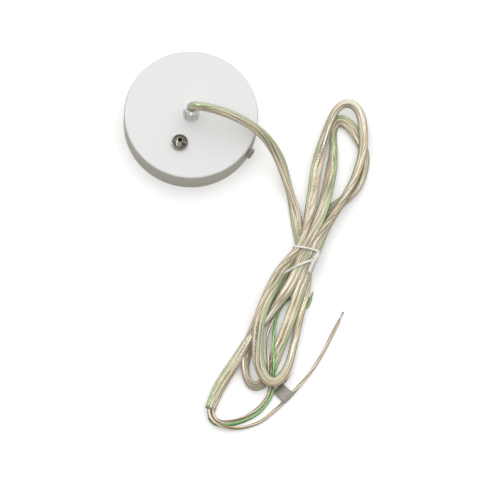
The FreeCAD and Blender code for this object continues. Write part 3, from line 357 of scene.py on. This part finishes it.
def clear_lead(name, points, start):
    """The sheath and its three cores along a line. Start is the run at its first point."""
    shape = bmesh.new()
    layer = shape.loops.layers.uv.new("UVMap")
    line = []
    for p, run, a, u in frames(points, GRIP_SIDE, level=True):
        turn = 2 * math.pi * between(LEAD_TURNS, (start + run) / MM)
        flat = min(max((start + run) / ROUND_TO - 1, 0), 1)  # from 0 where it is round to 1 where it is flat
        line.append((p, start + run, a, u, turn, flat))
    rings = [(run, ring_round(p, a, u, LEAD_ROUND + (LEAD_WIDE - LEAD_ROUND) * flat,
                              LEAD_ROUND + (LEAD_FLAT - LEAD_ROUND) * flat, LEAD_SIDES, turn))
             for p, run, a, u, turn, flat in line]
    sweep(shape, layer, rings, 0)
    for out, wide, thick, colour in CORES:
        rings = []
        for p, run, a, u, turn, flat in line:
            spread = (CORES_ROUND + (1 - CORES_ROUND) * flat) * MM
            middle = p + (a * math.cos(turn) + u * math.sin(turn)) * out * spread
            rings.append((run, ring_round(middle, a, u, wide * spread, thick * MM, CORE_SIDES, turn)))
        sweep(shape, layer, rings, colour)
    return finish_mesh(name, shape, [clear_sheath, gold_core, pale_core, green_core])


def set_ramp(node, stops):
    """Gives a colour ramp its stops, each a place and a linear colour."""
    elements = node.color_ramp.elements
    for _ in stops[2:]:
        elements.new(0.5)
    for element, (place, colour) in zip(elements, stops):
        element.position = place
        element.color = colour


# Clear sheath: extruded soft PVC, glossy and warm in tone, denser towards its edges, with a painted
# highlight, near white, where it faces the eye and painted shade, dark olive, towards its edges
clear_sheath, tree, shader = new_material("clear_soft_pvc", Roughness=0.12, IOR=1.53, Coat_Weight=0.5,
                                          Coat_Roughness=0.1)
edge = add(tree, "ShaderNodeLayerWeight", {"Blend": 0.5}).outputs["Facing"]
depth = add(tree, "ShaderNodeMapRange", {"Value": edge, "To Min": 0.18, "To Max": 0.9})
# painted light by facing: a near white painted highlight in the middle, dark olive painted shade at the edges
tone = add(tree, "ShaderNodeValToRGB", {"Fac": edge})
set_ramp(tone, ((0.4, linear("#FFF8E0")), (0.78, linear("#57491B"))))
tree.links.new(tone.outputs["Color"], shader.inputs["Base Color"])
tree.links.new(depth.outputs["Result"], shader.inputs["Alpha"])

# The fine wires in a core are drawn as streaks, far fewer and wider than the wires, so that they show. The
# brightest of their three tones is a pale painted glint along them
STREAKS = 10.0  # across one round of a core
STREAK_WIDTH = 0.7 * MM
STREAK_RUN = 55 * MM  # how long a streak is
WIRE_LAY = 90 * MM  # the wires go round their core once in this length


def core_material(name, dark, middle, bright, swept=True):
    """Fine wires seen through a core's glossy skin, as uneven streaks in three tones, the brightest a painted
    glint.

    They wind along a core that is swept here, by its own UV map, and stand upright on any other.
    """
    made, tree, shader = new_material(name, Roughness=0.28, IOR=1.53, Coat_Weight=1.0, Coat_Roughness=0.18)
    if swept:
        place = add(tree, "ShaderNodeUVMap", uv_map="UVMap")
        split = add(tree, "ShaderNodeSeparateXYZ", {"Vector": place.outputs["UV"]})
        lay = add(tree, "ShaderNodeMath", {0: split.outputs["Y"], 1: 1 / WIRE_LAY}, operation="MULTIPLY")
        angle = add(tree, "ShaderNodeMath", {0: split.outputs["X"], 1: lay.outputs[0]}, operation="ADD")
        across = add(tree, "ShaderNodeMath", {0: angle.outputs[0], 1: STREAKS}, operation="MULTIPLY")
        run = add(tree, "ShaderNodeMath", {0: split.outputs["Y"], 1: 1 / STREAK_RUN}, operation="MULTIPLY")
        spot = add(tree, "ShaderNodeCombineXYZ", {"X": across.outputs[0], "Y": run.outputs[0]})
    else:
        place = add(tree, "ShaderNodeTexCoord")
        stretch = (1 / STREAK_WIDTH, 1 / STREAK_WIDTH, 1 / STREAK_RUN)
        spot = add(tree, "ShaderNodeVectorMath", {0: place.outputs["Object"], 1: stretch},
                   operation="MULTIPLY")
    wires = add(tree, "ShaderNodeTexNoise", {"Vector": spot.outputs["Vector"], "Scale": 1.0, "Detail": 4.0})
    tone = add(tree, "ShaderNodeValToRGB", {"Fac": wires.outputs["Fac"]})
    # dark and middle are the wires' own colours; the bright stop is a painted glint
    set_ramp(tone, ((0.41, linear(dark)), (0.495, linear(middle)), (0.58, linear(bright))))
    relief = add(tree, "ShaderNodeBump",
                 {"Height": wires.outputs["Fac"], "Strength": 0.08, "Distance": 0.1 * MM})
    tree.links.new(tone.outputs["Color"], shader.inputs["Base Color"])
    tree.links.new(relief.outputs["Normal"], shader.inputs["Normal"])
    return made


# Stranded copper under a clear skin, one core a redder gold than the other, and a green skin for the earth,
# each with a pale painted glint as its brightest tone
COPPER_TONES_AND_GLINT = ("#3F2D10", "#C0A066", "#FFF9EA")
GREEN_TONES_AND_GLINT = ("#2F761C", "#72A83C", "#D6E8A2")
gold_core = core_material("clear_skin_over_copper", *COPPER_TONES_AND_GLINT)
pale_core = core_material("clear_skin_over_brass_toned_copper", "#433C10", "#CDC68C", "#FFFFF2")
green_core = core_material("green_pvc_over_copper", *GREEN_TONES_AND_GLINT)

lead_line = smooth_line(LEAD_ROUTE)
lead = clear_lead("clear_lead", lead_line, 0.0)
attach(lead, "rose")
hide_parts("cord_feed", "cord_hank", "cord_tail")

# The stretch that the grip holds, straight up from inside the cup to where the free lead starts
HELD_RINGS = 13
low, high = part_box("lead_in_grip")
held_line = [Vector((0, 0, low.z + (high.z - low.z) * i / (HELD_RINGS - 1))) for i in range(HELD_RINGS)]
held = clear_lead("clear_lead_in_grip", held_line, low.z - high.z)
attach(held, "rose")
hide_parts("lead_in_grip")


# Bared cores. Past the end of the sheath the line and earth cores turn back under the hank, and the neutral
# core runs on beside it. The earth and neutral cores end in tinned strands.

CORE_RADIUS = 1.2 * MM
BARE_CORE_SIDES = 16
BUNDLE_RADIUS = 0.6 * MM  # the earth core's strands, twisted together
BUNDLE_SIDES = 10
LINE_ROUTE = [
    (128.3, -183.3, 4.0), (131.2, -187.4, 2.8), (136.8, -189, 1.5), (143, -185.5, 1.3), (151, -177, 1.3),
    (156.6, -166.5, 1.3), (158.2, -156, 1.3), (157.6, -149, 1.3), (152.8, -141.5, 4), (148, -135, 8.3),
    (142.8, -127.5, 8.6), (136.8, -119.5, 7.6), (132.8, -110, 7), (131.5, -100, 5.5),
]
EARTH_ROUTE = [
    (127.1, -183.6, 2.0), (128.6, -190.2, 1.4), (135.5, -192.3, 1.3), (143.2, -189.3, 1.3),
    (152, -180.3, 1.3), (158.8, -169, 1.3), (160.8, -157.5, 1.3), (160.2, -149, 1.3), (155.5, -140.5, 3),
    (151, -133, 8.4), (146.5, -125.5, 8.6), (141, -117, 7), (136.6, -108, 5), (133, -99, 3.6),
    (131, -88, 3), (133.5, -79, 3), (139.5, -77.5, 2.8), (145, -81, 2), (148, -79, 1.5),
    (147.6, -75, 1.5), (146.8, -71, 1.5),
]
NEUTRAL_ROUTE = [
    (125.8, -183.6, 4.0), (128.2, -189.6, 4.1), (135.5, -191.8, 4.0), (144, -190.6, 3.6), (151, -186.8, 2.0),
    (157.5, -181, 1.3), (164.4, -172, 1.3), (168.2, -160, 1.4), (171.3, -148.6, 1.6), (173.8, -136, 1.6),
    (176, -120, 1.3), (176.2, -102.5, 1.3), (174.6, -87, 1.3), (173.6, -76, 1.3),
]


def round_tube(shape, layer, points, radius, sides, side=(1, 0, 0), closed=False):
    """Adds a round tube along a line."""
    rings = [(run, ring_round(p, a, u, radius, radius, sides)) for p, run, a, u in frames(points, side)]
    sweep(shape, layer, rings, 0, closed)


def bare_core(name, points, material, node, tip=0.0):
    """One insulated core along a line, with a length of tinned strands beyond its skin."""
    shape = bmesh.new()
    layer = shape.loops.layers.uv.new("UVMap")
    round_tube(shape, layer, points, CORE_RADIUS, BARE_CORE_SIDES)
    if tip:
        last, _, a, u = frames(points, (1, 0, 0))[-1]
        ahead = (points[-1] - points[-2]).normalized()
        rings = []
        # the bundle narrows a little towards its cut end
        for reach, share in ((0, 1.0), (tip * 0.9, 0.95), (tip, 0.6)):
            radius = BUNDLE_RADIUS * share
            rings.append((reach, ring_round(last + ahead * reach, a, u, radius, radius, BUNDLE_SIDES)))
        sweep(shape, layer, rings, 1)
        points = points + [last + ahead * tip]
    piece = finish_mesh(name, shape, [material, tinned])
    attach(piece, "rose")
    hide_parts(node)


# The earth core's own green skin, stronger in colour where no sheath covers it, its pale brightest tone a
# painted glint
bare_green_core = core_material("bare_green_pvc_over_copper", "#1F6B1E", "#4C9A34", "#BFE09A")

earth_line = smooth_line(EARTH_ROUTE)
neutral_line = smooth_line(NEUTRAL_ROUTE)
bare_core("line_core", smooth_line(LINE_ROUTE), gold_core, "free_core_line")
bare_core("earth_core", earth_line, bare_green_core, "free_core_earth", tip=5 * MM)
bare_core("neutral_core", neutral_line, gold_core, "free_core_neutral")

# The neutral core's strands: a ring of them, cut off at slightly different lengths
low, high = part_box("free_core_tip")
ahead = (neutral_line[-1] - neutral_line[-2]).normalized()
STRAND_VALUES = {
    "Strands": ("Int", 8),
    "Ring Radius": ("Float", 0.42 * MM),
    "Strand Radius": ("Float", 0.165 * MM),
    "Length": ("Float", (high.y - low.y) / ahead.y),
    "Shortest": ("Float", 0.86),
    "Material": ("Material", tinned),
}
STRAND_SIDES = 8
CUT_SEED = 5
strands = bpy.data.node_groups.new("bared_strands", "GeometryNodeTree")
strands.interface.new_socket("Geometry", in_out="OUTPUT", socket_type="NodeSocketGeometry")
sockets = {label: strands.interface.new_socket(label, in_out="INPUT", socket_type="NodeSocket" + kind)
           for label, (kind, _) in STRAND_VALUES.items()}
given = add(strands, "NodeGroupInput").outputs
ring = add(strands, "GeometryNodeMeshCircle", {"Vertices": given["Strands"], "Radius": given["Ring Radius"]})
wire = add(strands, "GeometryNodeMeshCylinder",
           {"Vertices": STRAND_SIDES, "Radius": given["Strand Radius"], "Depth": given["Length"]})
middle = add(strands, "ShaderNodeMath", {0: given["Length"], 1: 0.5}, operation="MULTIPLY")
lift = add(strands, "ShaderNodeCombineXYZ", {"Z": middle.outputs[0]})
wire = add(strands, "GeometryNodeTransform",
           {"Geometry": wire.outputs["Mesh"], "Translation": lift.outputs["Vector"]})
cut = add(strands, "FunctionNodeRandomValue", {"Min": given["Shortest"], "Seed": CUT_SEED}, data_type="FLOAT")
length = add(strands, "ShaderNodeCombineXYZ", {"X": 1.0, "Y": 1.0, "Z": cut.outputs["Value"]})
bundle = add(strands, "GeometryNodeInstanceOnPoints",
             {"Points": ring.outputs["Mesh"], "Instance": wire.outputs["Geometry"],
              "Scale": length.outputs["Vector"]})
bundle = add(strands, "GeometryNodeRealizeInstances", {"Geometry": bundle.outputs["Instances"]})
bundle = add(strands, "GeometryNodeSetMaterial",
             {"Geometry": bundle.outputs["Geometry"], "Material": given["Material"]})
add(strands, "NodeGroupOutput", {"Geometry": bundle.outputs["Geometry"]})

maker = bpy.data.objects.new("strand_maker", bpy.data.meshes.new("strand_maker"))
collection.objects.link(maker)
modifier = maker.modifiers.new("bared_strands", "NODES")
modifier.node_group = strands
for label, (_, value) in STRAND_VALUES.items():
    modifier[sockets[label].identifier] = value
mesh = bpy.data.meshes.new_from_object(maker.evaluated_get(bpy.context.evaluated_depsgraph_get()))
bpy.data.objects.remove(maker)
heading = ahead.to_track_quat("Z", "Y").to_matrix().to_4x4()
mesh.transform(Matrix.Translation(neutral_line[-1]) @ heading)
for face in mesh.polygons:
    face.use_smooth = len(face.vertices) == 4
tip = bpy.data.objects.new("tinned_strands", mesh)
collection.objects.link(tip)
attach(tip, "rose")
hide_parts("free_core_tip")

# The same three cores inside the cup, short, from the lead's inner end to their terminals
short_gold_core = core_material("short_clear_skin_over_copper", *COPPER_TONES_AND_GLINT, swept=False)
short_green_core = core_material("short_green_pvc_over_copper", *GREEN_TONES_AND_GLINT, swept=False)
dressed("inner_core_line", "rose", short_gold_core)
dressed("inner_core_neutral", "rose", short_gold_core)
dressed("inner_core_earth", "rose", short_green_core)


# Marker flag. A strip of grey adhesive film is folded round the neutral core and its two halves are stuck
# together. Its spare end curls up.

# Grey film: printed side down, satin, slightly mottled
grey_film, tree, shader = new_material("grey_adhesive_film", Roughness=0.38, IOR=1.5)
mottle(tree, shader, 2.4 * MM, 3.0, "#8A857A", "#A7A196")

FLAG_RUNS = (71.0, 83.0)  # the stretch of the neutral core that the film covers, in millimetres
FLAG_REACH = 11.3 * MM  # how far the two leaves stand out from the core
FLAG_NECK = 2.6 * MM  # how far from the core's middle they meet
FLAG_LEAF = (FLAG_REACH, 0.6 * FLAG_REACH, FLAG_NECK)
FOLD_OPENING = 50  # degrees on each side of the leaves where the film isn't round the core
FOLD_STEPS = 8
FILM = 0.12 * MM
# The near and far edge of the spare end in millimetres, from the leaves up to its tip
SPARE_END = [((162.5, -142, 1.2), (164.1, -136, 1.2)), ((163.1, -137.8, 2.6), (164.4, -133.4, 2.6)),
             ((164.2, -133.4, 3.6), (165, -130.6, 3.6)), ((165.7, -128, 4.6), (165.9, -127.4, 4.6))]

shape = bmesh.new()
rows = []
for point, run, across, up in frames(neutral_line, (1, 0, 0), level=True):
    if FLAG_RUNS[0] < run / MM < FLAG_RUNS[1]:
        row = [point - across * reach + Vector((0, 0, FILM)) for reach in FLAG_LEAF]
        for k in range(FOLD_STEPS + 1):
            angle = math.radians(FOLD_OPENING + (360 - 2 * FOLD_OPENING) * k / FOLD_STEPS)
            row.append(point + (up * math.sin(angle) - across * math.cos(angle)) * (CORE_RADIUS + FILM))
        row += [point - across * reach - Vector((0, 0, FILM)) for reach in FLAG_LEAF[::-1]]
        rows.append([shape.verts.new(spot) for spot in row])
for row, after in zip(rows, rows[1:]):
    for k in range(len(row) - 1):
        shape.faces.new((row[k], row[k + 1], after[k + 1], after[k])).smooth = True
rows = [[shape.verts.new(Vector(spot) * MM) for spot in pair] for pair in SPARE_END]
for (a, b), (c, d) in zip(rows, rows[1:]):
    shape.faces.new((a, b, d, c)).smooth = True
flag = finish_mesh("folded_film_flag", shape, [grey_film])
thick = flag.modifiers.new("film_thickness", "SOLIDIFY")
thick.thickness = FILM
thick.offset = 0.0
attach(flag, "rose")
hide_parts("core_flag")


# Twist tie. A thin steel wire in a white plastic cover goes twice round the hank's waist and its two ends
# are twisted together on top.

# Tie cover: extruded white plastic, satin
tie_cover, tree, shader = new_material("white_tie_cover", Roughness=0.4, IOR=1.5)
mottle(tree, shader, 1.25 * MM, 2.0, "#EBEAE7", "#FAFAF8")

TIE_RADIUS = 0.82 * MM
TIE_SIDES = 10
UPPER_WRAP = ((114.6, -47.5), (135, -40.4))  # from where to where on the table, in millimetres
LOWER_WRAP = ((119.6, -69.6), (135.1, -47.6))
OVER_LOWER_WRAP = (300, 395)  # the stretch of the lead that lies on top of the lower wrap
OVERHANG = 8 * MM  # how far outside a wrap's ends it still takes in a strand of the lead
HUGGED = 3.2 * MM  # the lead's radius under the tie
MOST_SLANT = 0.5  # a strand that slants more than this is taken as slanting this much
HUG_POINTS = 24
WRAP_STEP = 1.2 * MM
TIE_ENDS = [(135.1, -41.3, 13.5), (135.5, -45.6, 15.5), (136.1, -52.4, 15.2), (137.1, -58, 13.4)]
ENDS_TWIST = 1300.0  # radians for each metre of the twisted ends


def crossings(start, end, left_out):
    """Where the lead crosses an upright plane: the place along it, the height and the strand's slant."""
    start, end = (Vector((x * MM, y * MM, 0)) for x, y in (start, end))
    along = (end - start).normalized()
    normal = Vector((-along.y, along.x, 0))
    found, run = [], 0.0
    for a, b in zip(lead_line, lead_line[1:]):
        before, after = (a - start).dot(normal), (b - start).dot(normal)
        run += (b - a).length
        if before * after < 0 and not left_out[0] < run / MM < left_out[1]:
            spot = a + (b - a) * (before / (before - after))
            place = (spot - start).dot(along)
            if -OVERHANG < place < (end - start).length + OVERHANG:
                found.append((place, spot.z, abs((b - a).normalized().dot(normal))))
    return start, along, normal, found


def taut_loop(found):
    """The shortest loop round the strands that a plane crosses, as places along it and heights."""
    dots = set()
    for place, height, slant in found:
        for k in range(HUG_POINTS):
            angle = 2 * math.pi * k / HUG_POINTS
            reach = HUGGED / max(slant, MOST_SLANT) + TIE_RADIUS
            rise = height + (HUGGED + TIE_RADIUS) * math.sin(angle)
            dots.add((place + reach * math.cos(angle), max(rise, TIE_RADIUS)))

    def taut_side(spots):
        chain = []
        for x, z in spots:
            while len(chain) > 1 and ((chain[-1][0] - chain[-2][0]) * (z - chain[-2][1])
                                      - (chain[-1][1] - chain[-2][1]) * (x - chain[-2][0])) <= 0:
                chain.pop()
            chain.append((x, z))
        return chain[:-1]

    corners = taut_side(sorted(dots)) + taut_side(sorted(dots, reverse=True))
    loop = []
    for (x0, z0), (x1, z1) in zip(corners, corners[1:] + corners[:1]):
        steps = max(1, round(math.hypot(x1 - x0, z1 - z0) / WRAP_STEP))
        loop += [(x0 + (x1 - x0) * i / steps, z0 + (z1 - z0) * i / steps) for i in range(steps)]
    return loop


shape = bmesh.new()
layer = shape.loops.layers.uv.new("UVMap")
for (start, end), left_out in ((UPPER_WRAP, (0, 0)), (LOWER_WRAP, OVER_LOWER_WRAP)):
    start, along, normal, found = crossings(start, end, left_out)
    loop = [start + along * x + Vector((0, 0, z)) for x, z in taut_loop(found)]
    round_tube(shape, layer, loop, TIE_RADIUS, TIE_SIDES, side=normal, closed=True)
ends_line = frames(smooth_line(TIE_ENDS, steps=24), (1, 0, 0))
for side in (0, math.pi):
    end = []
    for p, run, a, u in ends_line:
        angle = run * ENDS_TWIST + side
        end.append(p + (a * math.cos(angle) + u * math.sin(angle)) * TIE_RADIUS)
    round_tube(shape, layer, end, TIE_RADIUS, TIE_SIDES)
tie = finish_mesh("twisted_tie", shape, [tie_cover])
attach(tie, "rose")
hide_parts("twist_tie")


# Surroundings. A pale floor, one large soft lamp above and behind, and an even pale room. The camera looks
# down at the angle of the photograph, far off with a long lens.

HALF_FLOOR = 6.0
floor_mesh = bpy.data.meshes.new("floor")
floor_mesh.from_pydata([(-HALF_FLOOR, -HALF_FLOOR, 0), (HALF_FLOOR, -HALF_FLOOR, 0),
                        (HALF_FLOOR, HALF_FLOOR, 0), (-HALF_FLOOR, HALF_FLOOR, 0)], [], [(0, 1, 2, 3)])
floor = bpy.data.objects.new("floor", floor_mesh)
collection.objects.link(floor)

# White paper floor: overexposed for the eye, so that only close shadows show, and warm and dim as a bounce
FLOOR_GLOW = 0.24
paper = bpy.data.materials.new("white_paper_floor")
paper.use_nodes = True
tree = paper.node_tree
tree.nodes.clear()
rays = add(tree, "ShaderNodeLightPath").outputs
tone = add(tree, "ShaderNodeMix", data_type="RGBA",
           inputs={"Factor": rays["Is Camera Ray"], "A": linear("#AFA78E"), "B": linear("#F4F4F4")})
matt = add(tree, "ShaderNodeBsdfDiffuse", {"Color": tone.outputs["Result"]})
seen = add(tree, "ShaderNodeMath", {0: rays["Is Camera Ray"], 1: rays["Is Glossy Ray"]}, operation="MAXIMUM")
seen = add(tree, "ShaderNodeMath", {0: seen.outputs[0], 1: rays["Is Transmission Ray"]}, operation="MAXIMUM")
level = add(tree, "ShaderNodeMath", {0: seen.outputs[0], 1: FLOOR_GLOW}, operation="MULTIPLY")
glow = add(tree, "ShaderNodeEmission", {"Strength": level.outputs[0]})
both = add(tree, "ShaderNodeAddShader", {0: matt.outputs[0], 1: glow.outputs[0]})
add(tree, "ShaderNodeOutputMaterial", {"Surface": both.outputs[0]})
floor_mesh.materials.append(paper)

ROOM_LIGHT = 0.31  # what matt surfaces get from the room
ROOM_GLOSS = 3.0  # how much brighter its soft boxes are in gloss and metal
WINDOW_GLOSS = 8.0
world = bpy.data.worlds.new("pale_room")
bpy.context.scene.world = world
world.use_nodes = True
tree = world.node_tree
tree.nodes.clear()
rays = add(tree, "ShaderNodeLightPath").outputs
place = add(tree, "ShaderNodeTexCoord").outputs["Generated"]
# Gloss and metal see a dark camera side overhead, a bright ring of soft boxes round it and a dim room below
overhead = Vector((-0.08, 0.26, 1)).normalized()
facing = add(tree, "ShaderNodeVectorMath", {0: place, 1: overhead}, operation="DOT_PRODUCT")
room = add(tree, "ShaderNodeValToRGB", {"Fac": facing.outputs["Value"]})
set_ramp(room, ((0.0, (0.12, 0.12, 0.115, 1)), (0.45, (0.1, 0.1, 0.1, 1)), (0.64, (0.12, 0.12, 0.12, 1)),
                (0.7, (0.95, 0.95, 0.95, 1)), (0.86, (0.95, 0.95, 0.95, 1)), (0.94, (0.06, 0.058, 0.052, 1))))
gloss = add(tree, "ShaderNodeMath", {0: room.outputs["Color"], 1: ROOM_GLOSS}, operation="MULTIPLY")
# and one small bright window to the left, the white streak along every strand
window = Vector((-0.44, 0.062, 0.882)).normalized()
facing = add(tree, "ShaderNodeVectorMath", {0: place, 1: window}, operation="DOT_PRODUCT")
streak = add(tree, "ShaderNodeMapRange", {"Value": facing.outputs["Value"], "From Min": 0.958,
                                          "From Max": 0.985, "To Min": 0.0, "To Max": WINDOW_GLOSS})
gloss = add(tree, "ShaderNodeMath", {0: gloss.outputs[0], 1: streak.outputs["Result"]}, operation="ADD")
lit = add(tree, "ShaderNodeMix", {"Factor": rays["Is Glossy Ray"], "A": ROOM_LIGHT, "B": gloss.outputs[0]})
white = add(tree, "ShaderNodeMix", {"Factor": rays["Is Camera Ray"], "A": lit.outputs["Result"], "B": 1.0})
backdrop = add(tree, "ShaderNodeBackground", {"Color": (1, 1, 1, 1), "Strength": white.outputs["Result"]})
add(tree, "ShaderNodeOutputWorld", {"Surface": backdrop.outputs[0]})

OBJECT_MIDDLE = Vector((0.06, -0.06, 0))
LAMP_OFFSET = Vector((-0.2, 0.45, 1.6))
light = bpy.data.lights.new("key_lamp", "AREA")
light.shape = "SQUARE"
light.size = 3.0
light.energy = 40
lamp = bpy.data.objects.new("key_lamp", light)
collection.objects.link(lamp)
lamp.location = OBJECT_MIDDLE + LAMP_OFFSET
lamp.rotation_euler = LAMP_OFFSET.to_track_quat("Z", "Y").to_euler()
lamp.visible_glossy = False  # gloss and metal see the room's soft boxes instead
lamp.visible_camera = False

CAMERA_AZIMUTH = 24.5
CAMERA_ELEVATION = 72.5
CAMERA_ROLL = 6.5
CAMERA_AIM = Vector((0.08877, -0.06197, 0))
CAMERA_DISTANCE = 6.2096
azimuth, elevation, roll = (math.radians(a) for a in (CAMERA_AZIMUTH, CAMERA_ELEVATION, CAMERA_ROLL))
look = Vector((-math.sin(azimuth) * math.cos(elevation), math.cos(azimuth) * math.cos(elevation),
               -math.sin(elevation)))
right = Vector((math.cos(azimuth), math.sin(azimuth), 0))
up = right.cross(look)
right, up = (right * math.cos(roll) + up * math.sin(roll), up * math.cos(roll) - right * math.sin(roll))
lens = bpy.data.cameras.new("camera")
lens.lens = 600
lens.sensor_width = 36
lens.clip_end = 30
camera = bpy.data.objects.new("camera", lens)
collection.objects.link(camera)
turned = Matrix((right, up, -look)).transposed().to_4x4()
camera.matrix_world = Matrix.Translation(CAMERA_AIM - look * CAMERA_DISTANCE) @ turned
bpy.context.scene.camera = camera
bpy.context.scene.view_settings.view_transform = "Standard"
